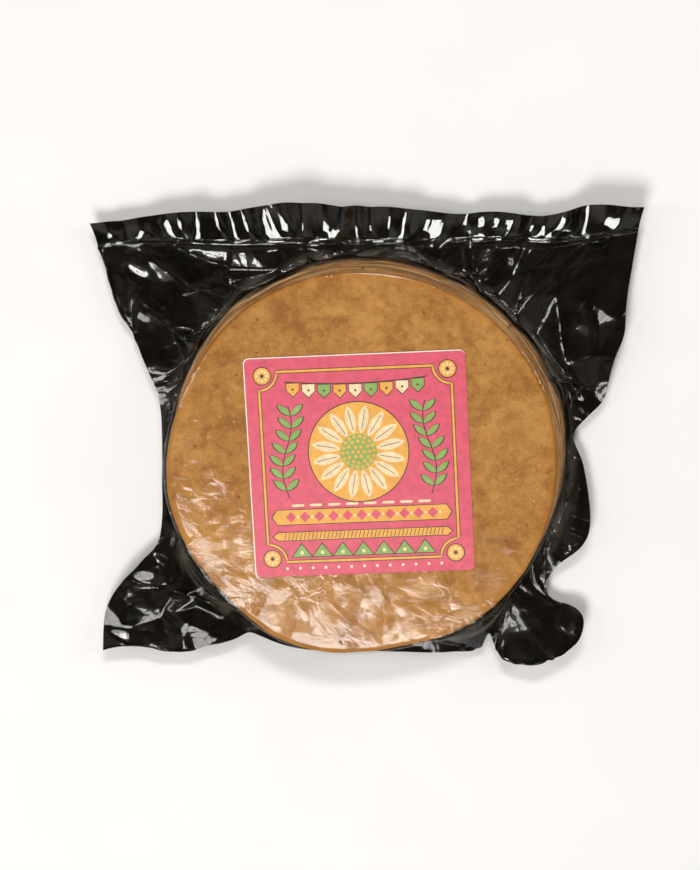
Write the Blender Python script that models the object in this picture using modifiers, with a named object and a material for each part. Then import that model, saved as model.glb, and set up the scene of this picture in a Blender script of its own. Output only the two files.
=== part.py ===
"""Vacuum pouch of corn tortillas: a black back film, a clear-fronted filled pouch and a paper label.

The pack lies on its back. X runs along the top seal, Y points at the top seal, Z is up.
All lengths are in metres; the pouch edge is listed in millimetres and scaled by MM.
"""
import math

import bmesh
import bpy
from mathutils import Matrix, Vector

MM = 0.001

# The stack of tortillas inside the pouch
STACK_RADIUS = 75.0 * MM
STACK_TOP = 22.0 * MM
RIM_DROP = 2.2 * MM
RIM_WIDTH = 4.0 * MM
FACE_CROWN = 0.5 * MM
UNEVEN = ((2, 0.45 * MM, 0.6), (3, 0.30 * MM, 2.1), (5, 0.18 * MM, 4.0))

# Where the clear front film meets the back film, round the foot of the stack
FOOT_RADIUS = 78.0 * MM
FOOT_SHIFT = 0.9 * MM
FOOT_RISE = 6.0 * MM
# Places where the front film spans out from the rim like a tent: (bearing, reach, half width)
TENTS = ((-143.0, 13.0 * MM, 18.0), (-56.0, 10.0 * MM, 18.0), (126.0, 4.5 * MM, 10.0),
         (62.0, 4.0 * MM, 12.0), (22.0, 4.0 * MM, 9.0))

# The back film
FILM_THICKNESS = 0.5 * MM
SOLE_RADIUS = 73.0 * MM
FLANGE_RINGS = 6
EDGE_STEPS = 160
# Pleats of the flange that run out from the foot to the edge: (bearing, height, half width)
PLEATS = ((101.0, 2.2 * MM, 5.0), (84.0, 1.6 * MM, 4.0), (70.0, 2.6 * MM, 4.5), (58.0, 2.2 * MM, 4.0),
          (47.0, 3.0 * MM, 4.5), (36.0, 2.4 * MM, 5.0), (24.0, 2.8 * MM, 5.0), (118.0, 2.2 * MM, 5.0),
          (131.0, 2.6 * MM, 4.0), (146.0, 2.0 * MM, 5.0), (-150.0, 2.4 * MM, 4.0), (-141.0, 2.0 * MM, 3.0),
          (-132.0, 2.2 * MM, 3.5), (-46.0, 1.6 * MM, 4.0), (-12.0, 1.4 * MM, 6.0))
FILM_CLEARANCE = 0.6 * MM

# The paper label
LABEL_SIDE = 85.3 * MM
LABEL_THICKNESS = 0.3 * MM
LABEL_CORNER = 3.0 * MM
LABEL_OFFSET = (-0.6 * MM, -0.6 * MM)
LABEL_TURN = math.radians(3.0)
TOUCH_GAP = 0.3 * MM

# The pouch edge as runs between sharp corners, in millimetres from the stack's centre: (x, y, height)
TOP_EDGE = ((107.0, 99.1, 10), (89.1, 100.0, 12), (77.6, 95.8, 6), (68.1, 94.4, 4), (51.6, 96.5, 7),
            (40.1, 94.6, 4), (30.2, 95.8, 5), (14.2, 97.9, 8), (0.5, 99.2, 10), (-11.1, 99.0, 9),
            (-24.3, 100.8, 12), (-39.6, 98.5, 9), (-53.5, 95.3, 5), (-67.4, 95.7, 6), (-83.2, 93.8, 4),
            (-105.7, 90.4, 3))
LEFT_EDGE = ((-105.7, 90.4, 3), (-103.5, 82.7, 3), (-93.1, 54.8, 5), (-85.0, 34.1, 6), (-80.4, 22.2, 6),
             (-79.2, 8.0, 6), (-79.4, -10.0, 6), (-79.3, -24.0, 6), (-81.5, -36.0, 7), (-88.4, -43.6, 7),
             (-99.3, -56.2, 5), (-103.3, -67.6, 4), (-104.5, -79.9, 3))
BOTTOM_EDGE = ((-104.5, -79.9, 3), (-98.6, -77.4, 4), (-87.4, -75.4, 6), (-81.2, -78.1, 5),
               (-72.9, -79.9, 4), (-66.2, -78.0, 6), (-52.8, -76.5, 4), (-29.3, -79.3, 3),
               (-9.3, -80.3, 3), (10.6, -80.4, 3), (30.5, -79.6, 3), (45.6, -78.5, 3), (50.3, -72.9, 4))
CORNER_LOBE = ((50.3, -72.9, 4), (53.1, -77.0, 5), (57.5, -80.8, 6), (67.8, -81.1, 7), (78.3, -77.8, 8),
               (84.9, -72.8, 8), (87.2, -65.8, 8), (85.5, -60.2, 8), (80.8, -57.9, 7), (75.0, -57.2, 5),
               (72.0, -53.6, 4), (72.8, -48.4, 4), (77.4, -42.1, 5), (85.5, -35.4, 7), (89.2, -27.7, 9),
               (88.6, -13.7, 9), (85.7, -0.8, 8), (81.7, 9.0, 6))
RIGHT_EDGE = ((81.7, 9.0, 6), (87.4, 16.8, 5), (93.4, 23.8, 6), (97.6, 40.2, 8), (100.9, 49.4, 9),
              (101.4, 62.6, 7), (103.1, 74.4, 8), (105.4, 89.8, 9), (107.0, 99.1, 10))
EDGE_RUNS = (TOP_EDGE, LEFT_EDGE, BOTTOM_EDGE, CORNER_LOBE, RIGHT_EDGE)


def clear_objects():
    for thing in list(bpy.data.objects):
        bpy.data.objects.remove(thing, do_unlink=True)


def make_material(name, colour, roughness, alpha=1.0):
    material = bpy.data.materials.new(name)
    material.use_nodes = True
    shader = material.node_tree.nodes["Principled BSDF"]
    shader.inputs["Base Color"].default_value = (*colour, 1.0)
    shader.inputs["Roughness"].default_value = roughness
    shader.inputs["Metallic"].default_value = 0.0
    shader.inputs["Alpha"].default_value = alpha
    return material


def spline_point(before, start, end, after, share):
    """A point of the Catmull-Rom curve between start and end."""
    tangent_in = (end - before) * 0.5
    tangent_out = (after - start) * 0.5
    square, cube = share ** 2, share ** 3
    return (start * (2 * cube - 3 * square + 1) + tangent_in * (cube - 2 * square + share)
            + end * (3 * square - 2 * cube) + tangent_out * (cube - square))


def smooth_run(points, steps_per_span=12):
    """A dense smooth curve through one run of points, with free ends."""
    points = [Vector(point) * MM for point in points]
    padded = [points[0] * 2 - points[1]] + points + [points[-1] * 2 - points[-2]]
    dense = []
    for span in range(len(points) - 1):
        for step in range(steps_per_span):
            dense.append(spline_point(*padded[span:span + 4], step / steps_per_span))
    dense.append(points[-1])
    return dense


def even_steps(dense, count):
    """Count points spaced evenly along a dense curve, its last point left out."""
    lengths = [0.0]
    for start, end in zip(dense, dense[1:]):
        lengths.append(lengths[-1] + (end - start).length)
    evened = []
    index = 0
    for step in range(count):
        target = lengths[-1] * step / count
        while lengths[index + 1] < target:
            index += 1
        share = (target - lengths[index]) / (lengths[index + 1] - lengths[index])
        evened.append(dense[index].lerp(dense[index + 1], share))
    return evened


def pouch_edge():
    """The closed edge of the pouch, evenly spaced in each run so that every corner is kept."""
    dense_runs = [smooth_run(run) for run in EDGE_RUNS]
    run_lengths = [sum((b - a).length for a, b in zip(run, run[1:])) for run in dense_runs]
    edge = []
    for dense, length in zip(dense_runs, run_lengths):
        edge += even_steps(dense, round(EDGE_STEPS * length / sum(run_lengths)))
    return edge


def turned_bearings(edge):
    """Each edge point's bearing about the stack, made to turn one way and smoothed."""
    bearings = []
    for point in edge:
        bearing = math.atan2(point.y, point.x)
        while bearings and bearing < bearings[-1] - math.pi:
            bearing += 2 * math.pi
        bearings.append(max(bearing, bearings[-1] + 0.002) if bearings else bearing)
    count = len(bearings)
    for _ in range(6):
        wrapped = [bearings[-1] - 2 * math.pi] + bearings + [bearings[0] + 2 * math.pi]
        bearings = [(wrapped[i] + 2 * wrapped[i + 1] + wrapped[i + 2]) / 4 for i in range(count)]
    return bearings


def bearing_gap(bearing, centre_degrees):
    """Degrees between a bearing and a centre, the short way round."""
    return abs((math.degrees(bearing) - centre_degrees + 180.0) % 360.0 - 180.0)


def bump(bearing, centre_degrees, half_width):
    """1 at the centre, easing to 0 at the half width."""
    gap = bearing_gap(bearing, centre_degrees)
    return 0.5 + 0.5 * math.cos(math.pi * gap / half_width) if gap < half_width else 0.0


def ridge(bearing, centre_degrees, half_width):
    """1 at the centre, falling straight to 0 at the half width, for a sharp pleat."""
    return max(0.0, 1.0 - bearing_gap(bearing, centre_degrees) / half_width)


def stack_radius(bearing):
    return STACK_RADIUS + sum(size * math.sin(turns * bearing + start) for turns, size, start in UNEVEN)


def ring_point(bearing, radius, height, shift=0.0):
    return Vector((radius * math.cos(bearing) + shift, radius * math.sin(bearing), height))


def foot_point(bearing, edge_point):
    """Where the front film lands on the back film, kept inside the edge."""
    reach = FOOT_RADIUS + sum(out * bump(bearing, centre, width) for centre, out, width in TENTS)
    point = ring_point(bearing, reach, FOOT_RISE, FOOT_SHIFT)
    room = edge_point.xy.length - 1.2 * MM
    if point.xy.length > room:
        point.xy = point.xy * (room / point.xy.length)
    return point


def flange_point(foot, edge_point, bearing, share):
    """A point of the flange, share of the way from the foot to the edge, with its pleats."""
    point = foot.lerp(edge_point, share)
    pleat = sum(height * ridge(bearing, centre, width) for centre, height, width in PLEATS)
    width_share = min(1.0, (edge_point - foot).length / (20.0 * MM))
    point.z += pleat * width_share * math.sin(math.pi * share) ** 0.7
    return point


def loft(bm, rings):
    """Quads between closed rings of equal count, and the rings' vertices."""
    rows = [[bm.verts.new(point) for point in ring] for ring in rings]
    count = len(rows[0])
    for inner, outer in zip(rows, rows[1:]):
        for i in range(count):
            j = (i + 1) % count
            bm.faces.new((inner[i], outer[i], outer[j], inner[j]))
    return rows


def finish_object(name, bm, collection, material, shift):
    """Turns a bmesh into a smooth-shaded object, moved by shift."""
    bmesh.ops.translate(bm, verts=bm.verts, vec=shift)
    bmesh.ops.recalc_face_normals(bm, faces=bm.faces)
    mesh = bpy.data.meshes.new(name)
    bm.to_mesh(mesh)
    bm.free()
    mesh.materials.append(material)
    mesh.shade_smooth()
    mesh.set_sharp_from_angle(angle=math.radians(40.0))
    thing = bpy.data.objects.new(name, mesh)
    collection.objects.link(thing)
    return thing


def make_back_film(edge, feet, bearings, collection, shift):
    """The black film: flat under the stack, dished up to the foot, then the pleated flange."""
    bm = bmesh.new()
    sole = [ring_point(bearing, SOLE_RADIUS, 0.0) for bearing in bearings]
    rings = [sole]
    for ring in range(FLANGE_RINGS + 1):
        share = ring / FLANGE_RINGS
        rings.append([flange_point(*spot, share) for spot in zip(feet, edge, bearings)])
    rows = loft(bm, rings)
    bm.faces.new(rows[0])
    film = finish_object("back_film", bm, collection,
                         make_material("black_film", (0.012, 0.011, 0.010), 0.14), shift)
    if film.data.polygons[-1].normal.z < 0:
        film.data.flip_normals()
    shell = film.modifiers.new("film thickness", "SOLIDIFY")
    shell.thickness = FILM_THICKNESS
    shell.offset = 1.0
    return film


def make_filled_pouch(feet, bearings, collection, shift):
    """The clear front film with the tortillas in it, as one solid down to the back film."""
    lift = Vector((0.0, 0.0, FILM_CLEARANCE + TOUCH_GAP))
    sole = [ring_point(bearing, SOLE_RADIUS - TOUCH_GAP, 0.0) + lift for bearing in bearings]
    landing = [foot + lift for foot in feet]
    shoulder = [ring_point(b, stack_radius(b) + 1.2 * MM, STACK_TOP - 3.4 * RIM_DROP) for b in bearings]
    rim = [ring_point(b, stack_radius(b), STACK_TOP - RIM_DROP) for b in bearings]
    turn = [ring_point(b, stack_radius(b) - 0.4 * RIM_WIDTH, STACK_TOP - 0.35 * RIM_DROP) for b in bearings]
    face = [ring_point(b, stack_radius(b) - RIM_WIDTH, STACK_TOP - FACE_CROWN * 0.6) for b in bearings]
    flat = [ring_point(b, 0.86 * STACK_RADIUS, STACK_TOP) for b in bearings]
    walls = [[foot.lerp(high, share) for foot, high in zip(landing, shoulder)] for share in (0.33, 0.66)]
    bm = bmesh.new()
    rows = loft(bm, [sole, landing, *walls, shoulder, rim, turn, face, flat])
    bm.faces.new(rows[0])
    bm.faces.new(rows[-1])
    return finish_object("filled_pouch", bm, collection,
                         make_material("film_over_tortilla", (0.48, 0.25, 0.075), 0.22), shift)


def make_label(collection, shift):
    """The square paper label: a rounded flat outline with a thickness, turned a little."""
    bpy.ops.mesh.primitive_cube_add(size=1.0)
    label = bpy.context.object
    label.name = "label"
    label.data.name = "label"
    label.data.transform(Matrix.Diagonal((LABEL_SIDE, LABEL_SIDE, LABEL_THICKNESS, 1.0)))
    label.rotation_euler.z = LABEL_TURN
    height = STACK_TOP + TOUCH_GAP + LABEL_THICKNESS / 2
    label.location = Vector((*LABEL_OFFSET, height)) + shift
    corners = label.data.attributes.new("bevel_weight_edge", "FLOAT", "EDGE")
    for edge in label.data.edges:
        start, end = (label.data.vertices[index].co for index in edge.vertices)
        corners.data[edge.index].value = 1.0 if abs(start.z - end.z) > LABEL_THICKNESS / 2 else 0.0
    rounding = label.modifiers.new("round corners", "BEVEL")
    rounding.limit_method = "WEIGHT"
    rounding.width = LABEL_CORNER
    rounding.segments = 6
    label.data.materials.append(make_material("pink_paper", (0.68, 0.09, 0.155), 0.45))
    for holder in list(label.users_collection):
        holder.objects.unlink(label)
    collection.objects.link(label)
    return label


def main():
    clear_objects()
    collection = bpy.data.collections.new("corn_tortilla_stack")
    bpy.context.scene.collection.children.link(collection)
    edge = pouch_edge()
    bearings = turned_bearings(edge)
    feet = [foot_point(bearing, point) for bearing, point in zip(bearings, edge)]
    middle_x = (min(point.x for point in edge) + max(point.x for point in edge)) / 2
    middle_y = (min(point.y for point in edge) + max(point.y for point in edge)) / 2
    shift = Vector((-middle_x, -middle_y, 0.0))
    make_back_film(edge, feet, bearings, collection, shift)
    make_filled_pouch(feet, bearings, collection, shift)
    make_label(collection, shift)


main()
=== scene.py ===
"""Looks of a vacuum pouch of corn tortillas lying on its back.

The two films are sheets that keep their flat lengths: the front one is relaxed over the stack of
tortillas by a small solver, so that its surplus turns into real folds. The black back film is welded
to it outside the stack. Lengths are in millimetres from the stack's centre until a mesh is made.
"""

import math

import bpy
import numpy as np
from mathutils import Matrix, Vector
from mathutils.geometry import delaunay_2d_cdt


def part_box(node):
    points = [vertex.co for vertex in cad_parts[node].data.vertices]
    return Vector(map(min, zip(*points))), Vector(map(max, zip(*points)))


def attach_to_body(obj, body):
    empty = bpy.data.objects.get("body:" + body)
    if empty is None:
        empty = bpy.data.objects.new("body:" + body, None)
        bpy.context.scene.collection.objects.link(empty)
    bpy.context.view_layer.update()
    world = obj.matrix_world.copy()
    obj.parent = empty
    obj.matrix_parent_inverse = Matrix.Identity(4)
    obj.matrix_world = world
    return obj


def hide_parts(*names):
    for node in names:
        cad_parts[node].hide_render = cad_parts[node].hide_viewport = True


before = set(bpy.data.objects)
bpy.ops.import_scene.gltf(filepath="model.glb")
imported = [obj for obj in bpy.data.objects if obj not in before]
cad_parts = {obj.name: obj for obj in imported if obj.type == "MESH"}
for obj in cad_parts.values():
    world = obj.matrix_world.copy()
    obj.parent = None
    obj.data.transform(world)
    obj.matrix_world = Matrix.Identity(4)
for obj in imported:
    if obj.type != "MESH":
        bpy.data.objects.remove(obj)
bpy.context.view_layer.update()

MM = 0.001
SEED = 11

# ---------------------------------------------------------------- sizes read from the frame
LABEL_OFFSET = np.array((-0.6, -0.6))
LABEL_LOW, LABEL_HIGH = (np.array(corner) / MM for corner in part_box("label"))
STACK_CENTRE = (LABEL_LOW[:2] + LABEL_HIGH[:2]) / 2 - LABEL_OFFSET
FACE_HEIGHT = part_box("filled_pouch")[1][2] / MM

# ---------------------------------------------------------------- the stack of tortillas
STACK_RADIUS = 75.0
STACK_FLARE = 2.5
STACK_SHIFT = 2.8
SHIFT_BEARING = math.radians(55.0)
STACK_TOP = FACE_HEIGHT - 0.25
STACK_BASE = 0.45
RIM_ROUND = 3.2
RIM_VARIES = 1.3
RIM_BEARING = math.radians(-150.0)
TORTILLA_COUNT = 12
EDGE_RAGGED = 0.38
EDGE_STEP = 0.55
RAGGED_TURNS = (2, 3, 5, 8, 13, 21, 34, 47)
FILM_ROOM = 0.35
SECTORS = 360
FACE_RINGS = 70
# Edges from the underside up: (millimetres outwards, share of the thickness)
PROFILE = ((-3.0, 0.0), (-0.8, 0.03), (-0.25, 0.2), (0.0, 0.5), (-0.25, 0.8), (-0.8, 0.97), (-3.0, 1.0))
TOP_PROFILE = ((-4.0, 0.0), (-1.6, 0.0), (-0.7, 0.05), (-0.45, 0.25), (-0.6, 0.5), (-1.0, 0.75),
               (-1.7, 0.92), (-2.6, 0.99))
# The outline is not quite a circle: its spread, and (size, start) of waves that run 1 to 7 times round
SPREAD = 1.4
UNEVEN = ((0.96, 3.11), (0.52, 0.32), (0.19, 2.39), (0.08, -1.28), (0.48, -1.57), (0.49, 0.37),
          (0.27, 2.39))

# ---------------------------------------------------------------- the films
FLAT_LEFT, FLAT_RIGHT, FLAT_BOTTOM, FLAT_TOP = -108.0, 109.0, -97.0, 114.0
FLAT_CORE = 60.0
SPARE_FILM = 1.5
CORNER_X, CORNER_Y = 58.0, -48.0
# Where film starts and stops being turned under, up the left and right sides and along the bottom
SIDE_TURNS = (-84.0, -66.0, 62.0, 80.0)
BOTTOM_TURNS = (-88.0, -70.0, 64.0, 80.0)
FOOT_RADIUS = 77.6
FOOT_HEIGHT = 6.0
FLANGE_RISE = 18.0
FILM_GAP = 0.15
SOLE_HEIGHT = 0.15
# Where the front film spans like a tent from the rim to the flange: (bearing, reach, half width)
TENTS = ((-143.0, 14.0, 18.0), (-56.0, 11.0, 17.0), (126.0, 5.0, 9.0), (62.0, 4.0, 10.0), (20.0, 4.0, 8.0))

# The pouch's edge, side by side: (x, y, height)
TOP_EDGE = ((-105.7, 90.4, 4), (-83.2, 93.8, 5), (-67.4, 95.7, 8), (-53.5, 95.3, 6), (-39.6, 98.5, 9),
            (-24.3, 100.8, 13), (-11.1, 99.0, 10), (0.5, 99.2, 10), (14.2, 97.9, 8), (30.2, 95.8, 5),
            (40.1, 94.6, 4), (51.6, 96.5, 8), (68.1, 94.4, 4), (77.6, 95.8, 7), (89.1, 100.0, 13),
            (107.0, 99.1, 10))
LEFT_EDGE = ((-103.8, -79.9, 7), (-103.3, -67.6, 6), (-99.3, -56.2, 6), (-88.4, -43.6, 8),
             (-81.5, -36.0, 8), (-79.3, -24.0, 8), (-79.4, -10.0, 7), (-79.2, 8.0, 7), (-80.4, 22.2, 7),
             (-85.0, 34.1, 7), (-93.1, 54.8, 6), (-103.5, 82.7, 4), (-105.7, 90.4, 4))
BOTTOM_EDGE = ((-103.8, -79.9, 7), (-100.7, -78.4, 8), (-94.2, -77.3, 9), (-87.8, -76.7, 9),
               (-81.4, -78.9, 8), (-75.0, -80.0, 8), (-68.6, -79.9, 8), (-62.1, -77.3, 8),
               (-55.7, -76.0, 8), (-49.2, -74.0, 7), (-45.5, -71.6, 6), (-41.0, -73.4, 5),
               (-34.5, -76.0, 5), (-25.0, -78.3, 4), (-10.0, -78.9, 4), (6.0, -78.8, 4),
               (18.0, -79.0, 4), (30.5, -79.2, 4), (42.5, -78.6, 4), (46.4, -77.4, 5), (49.7, -72.6, 5),
               (52.7, -78.4, 6), (56.5, -80.8, 9), (67.8, -81.6, 11), (78.3, -78.6, 11))
RIGHT_EDGE = ((78.3, -78.6, 11), (84.9, -72.8, 10), (87.2, -65.8, 9), (85.5, -60.2, 8), (80.8, -57.9, 8),
              (75.0, -57.2, 6), (72.0, -53.6, 5), (72.8, -48.4, 5), (77.4, -42.1, 6), (85.5, -35.4, 8),
              (89.2, -27.7, 9), (88.6, -13.7, 9), (85.7, -0.8, 9), (81.7, 9.0, 7), (87.4, 16.8, 6),
              (93.4, 23.8, 6), (97.6, 40.2, 9), (100.9, 49.4, 8), (101.4, 62.6, 7), (103.1, 74.4, 8),
              (105.4, 89.8, 9), (107.0, 99.1, 10))
# Main folds of the flange: (points along the crest or valley, height, half width)
FOLDS = (
    (((-68, 80), (-52, 74), (-35, 74)), 4.0, 10.0),
    (((-87, 80), (-68, 66), (-53, 62), (-45, 63)), -3.0, 8.0),
    (((-53, 75), (-51, 63)), 1.5, 4.0),
    (((-92, 47), (-75, 50), (-62, 41)), -0.8, 8.0),
    (((40, 66), (38.5, 83.5)), 3.0, 7.0),
    (((40, 66), (15, 84)), 2.2, 6.0),
    (((45, 68), (51.5, 83.5)), 3.5, 8.0),
    (((57, 71), (47.5, 66)), 3.0, 7.0),
    (((65.5, 75), (58.5, 57)), 3.0, 7.0),
    (((85.5, 86), (76, 76.5), (63, 63.5), (58.5, 57)), 4.0, 8.0),
    (((76, 76.5), (74.5, 65.5), (78.5, 37.5)), 4.5, 10.0),
    (((86, 63.5), (90, 41.5), (99.5, 55.5)), 3.0, 9.0),
    (((57.5, 51.5), (71.5, 29.5)), 2.5, 5.0),
    (((-15, 79), (-14, 85.5)), 2.0, 6.0),
    (((-47, 59.5), (-29.5, 75), (-25.5, 83.5)), 2.5, 7.0),
    (((-10, 71.5), (11, 84.5)), 1.5, 6.0),
    (((-92, -47), (-80, -43.5)), 2.0, 6.0),
    (((-94.5, -57.6), (-84.5, -53.2), (-70, -50)), 2.5, 8.0),
    (((-95, -72), (-80, -66), (-76, -58)), -2.0, 7.0),
    (((-76, -64), (-66, -57.5), (-62, -55)), 2.0, 6.0),
    (((-71.6, -67), (-70.6, -79)), 2.0, 5.0),
    (((-57, -74), (-54.5, -66)), 1.5, 5.0),
    (((84.5, -9), (80.5, -37)), 2.5, 6.0),
)
# Relaxing from coarse to fine: grid step, steps, bending, push-back, pull to the folds, unevenness
LEVELS = ((6.0, 400, 0.12, 0.05, 0.35, 0.10), (3.0, 300, 0.16, 0.12, 0.16, 0.03),
          (1.5, 180, 0.06, 0.30, 0.05, 0.01), (1.0, 50, 0.02, 0.35, 0.015, 0.0))
# Where the edge is turned under: (bearing, half width, smoothing)
CALM_EDGES = ((-95.0, 38.0, 0.8), (180.0, 32.0, 0.8), (0.0, 24.0, 0.35), (28.0, 12.0, 0.3))
CALM_ROUNDS = 30
FACET_SPACING = 9.0
FACET_UNEVEN = 0.8
FACET_SHARE = 0.85
FACET_TRIES = 1500
CREASE_LIFT = 0.45
FOOT_FACETS = 48
STRIP_FACETS = 20
STRIP_WIDTH = 10.0
STRIP_STIFFNESS = 0.95
STRIP_ROUNDS = 30
PASSES = 4
SUCTION = 0.25
SUCTION_REACH = 24.0
TENT_PULL = 0.15
LOWEST_FILM = 0.4
EDGE_PULL = 0.3
MOMENTUM = 0.9
STEP_LIMIT = 1.5


def curve_through(points):
    """Dense points and running lengths of a smooth curve through (x, y, ...) points."""
    knots = np.array(points, float)[:, :2]
    knots = np.vstack([2 * knots[0] - knots[1], knots, 2 * knots[-1] - knots[-2]])
    share = np.linspace(0, 1, 20, endpoint=False)[:, None]
    spans = []
    for a, b, c, d in zip(knots, knots[1:], knots[2:], knots[3:]):
        spans.append(0.5 * (2 * b + (c - a) * share + (2 * a - 5 * b + 4 * c - d) * share ** 2
                            + (3 * b - a - 3 * c + d) * share ** 3))
    dense = np.vstack(spans + [knots[-2][None]])
    lengths = np.r_[0, np.cumsum(np.linalg.norm(np.diff(dense, axis=0), axis=1))]
    return dense, lengths


def along(curve, share):
    """Points at the given shares of a curve's length."""
    dense, lengths = curve
    distance = np.asarray(share) * lengths[-1]
    return np.stack([np.interp(distance, lengths, dense[:, axis]) for axis in (0, 1)], axis=-1)


TOP_CURVE, LEFT_CURVE, BOTTOM_CURVE, RIGHT_CURVE = (
    curve_through(side) for side in (TOP_EDGE, LEFT_EDGE, BOTTOM_EDGE, RIGHT_EDGE))
# Places along the flat sides that go to known points of the edge, such as its two deep notches
BOTTOM_PAIRS = ((-52.0, (-45.5, -71.6)), (58.0, (49.7, -72.6)))
LEFT_PAIRS = ((-55.0, (-88.4, -43.6)), (54.0, (-85.0, 34.1)))
RIGHT_PAIRS = ((-61.0, (72.0, -53.6)), (54.0, (97.6, 40.2)))


def curve_share(curve, point):
    """The share of a curve's length at which it passes nearest to a point."""
    dense, lengths = curve
    return lengths[np.argmin(np.linalg.norm(dense - point, axis=1))] / lengths[-1]


def side_share(flat_place, low, high, curve, pairs=()):
    """The share of a side's curve that a place along the flat side goes to."""
    knots = (low, *(place for place, _ in pairs), high)
    return np.interp(flat_place, knots, (0, *(curve_share(curve, point) for _, point in pairs), 1))


def side_targets(x, y):
    """Where places along the flat film's four sides lie: top, bottom, left, right."""
    return (along(TOP_CURVE, side_share(x, FLAT_LEFT, FLAT_RIGHT, TOP_CURVE)),
            along(BOTTOM_CURVE, side_share(x, FLAT_LEFT, FLAT_RIGHT, BOTTOM_CURVE, BOTTOM_PAIRS)),
            along(LEFT_CURVE, side_share(y, FLAT_BOTTOM, FLAT_TOP, LEFT_CURVE, LEFT_PAIRS)),
            along(RIGHT_CURVE, side_share(y, FLAT_BOTTOM, FLAT_TOP, RIGHT_CURVE, RIGHT_PAIRS)))


def bump(bearing, centre_degrees, half_width):
    """1 at the centre, easing to 0 at the half width, for bearings in radians."""
    gap = np.abs((np.degrees(bearing) - centre_degrees + 180.0) % 360.0 - 180.0)
    return np.where(gap < half_width, 0.5 + 0.5 * np.cos(np.pi * gap / half_width), 0.0)


def smooth_step(low, high, value):
    share = np.clip((value - low) / (high - low), 0, 1)
    return share * share * (3 - 2 * share)


def between(value, start, full, fading, end):
    """0 outside start and end, 1 from full to fading."""
    return smooth_step(start, full, value) * (1 - smooth_step(fading, end, value))


def tent_reach(bearing):
    return sum(reach * bump(bearing, centre, width) for centre, reach, width in TENTS)


def face_radius(bearing):
    """The outline of the stack's face."""
    waves = (size * np.sin(turns * bearing + start) for turns, (size, start) in enumerate(UNEVEN, 1))
    return STACK_RADIUS + SPREAD + sum(waves)


def foot_radius(bearing):
    """Where the film leaves the stack or its tent for the flange."""
    shift = 0.7 * STACK_SHIFT * np.cos(bearing - SHIFT_BEARING)
    return FOOT_RADIUS - STACK_RADIUS + face_radius(bearing) + shift + tent_reach(bearing)


def wall_length(bearing):
    """Length of film from the rim down to the flange."""
    return np.hypot(foot_radius(bearing) - face_radius(bearing), STACK_TOP - FOOT_HEIGHT)


def rim_round(bearing):
    return RIM_ROUND + RIM_VARIES * np.cos(bearing - RIM_BEARING)


def stack_radius(bearing, height):
    """The stack's side: wider towards its base, which is shifted to one side."""
    depth = np.clip(1 - height / STACK_TOP, 0, 1)
    return face_radius(bearing) + (STACK_FLARE + STACK_SHIFT * np.cos(bearing - SHIFT_BEARING)) * depth


def flat_reach(targets, across):
    """How far out the flat film reaches to lie down to its edge, seen from the side's middle."""
    bearing = np.arctan2(targets[..., 1], targets[..., 0])
    radius = face_radius(bearing) + wall_length(bearing) + SPARE_FILM
    radius = radius + np.hypot(targets[..., 0], targets[..., 1]) - foot_radius(bearing)
    return np.sqrt(np.maximum(radius ** 2 - across ** 2, FLAT_CORE ** 2))


def flat_place(x, y):
    """The film's flat shape: a rectangle with one rounded corner, less what is turned under its edge."""
    bottom, left, right = side_targets(x, y)[1:]
    middle = between(y, *SIDE_TURNS)
    full = np.where(x < 0, -FLAT_LEFT, FLAT_RIGHT)
    reach = np.minimum(np.where(x < 0, flat_reach(left, y), flat_reach(right, y)), full)
    reach = full + (reach - full) * middle
    share = np.maximum(np.abs(x) - FLAT_CORE, 0) / (full - FLAT_CORE)
    new_x = np.where(share > 0, np.sign(x) * (FLAT_CORE + share * (reach - FLAT_CORE)), x)
    middle = between(x, *BOTTOM_TURNS)
    reach = -FLAT_BOTTOM + (np.minimum(flat_reach(bottom, x), -FLAT_BOTTOM) + FLAT_BOTTOM) * middle
    share = np.maximum(-y - FLAT_CORE, 0) / (-FLAT_BOTTOM - FLAT_CORE)
    new_y = np.where(share > 0, -FLAT_CORE - share * (reach - FLAT_CORE), y)
    a = np.clip((x - CORNER_X) / (FLAT_RIGHT - CORNER_X), 0, 1)
    b = np.clip((CORNER_Y - y) / (CORNER_Y - FLAT_BOTTOM), 0, 1)
    new_x = np.where(a > 0, CORNER_X + (new_x - CORNER_X) * np.sqrt(1 - b * b / 2), new_x)
    new_y = np.where(b > 0, CORNER_Y + (new_y - CORNER_Y) * np.sqrt(1 - a * a / 2), new_y)
    return new_x, new_y


def flat_grid(step):
    """The film's flat shape as a grid, with rows along y and columns along x."""
    columns = int(round((FLAT_RIGHT - FLAT_LEFT) / step)) + 1
    rows = int(round((FLAT_TOP - FLAT_BOTTOM) / step)) + 1
    sideways = np.linspace(FLAT_LEFT, FLAT_RIGHT, columns)
    upwards = np.linspace(FLAT_BOTTOM, FLAT_TOP, rows)
    return np.dstack(flat_place(*np.meshgrid(sideways, upwards)))


def edge_targets(rows, columns):
    """Where the film's four sides lie: top, bottom, left, right."""
    x, y = np.linspace(FLAT_LEFT, FLAT_RIGHT, columns), np.linspace(FLAT_BOTTOM, FLAT_TOP, rows)
    top, bottom = side_targets(x, np.zeros(columns))[:2]
    left, right = side_targets(np.zeros(rows), y)[2:]
    return top, bottom, left, right


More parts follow.
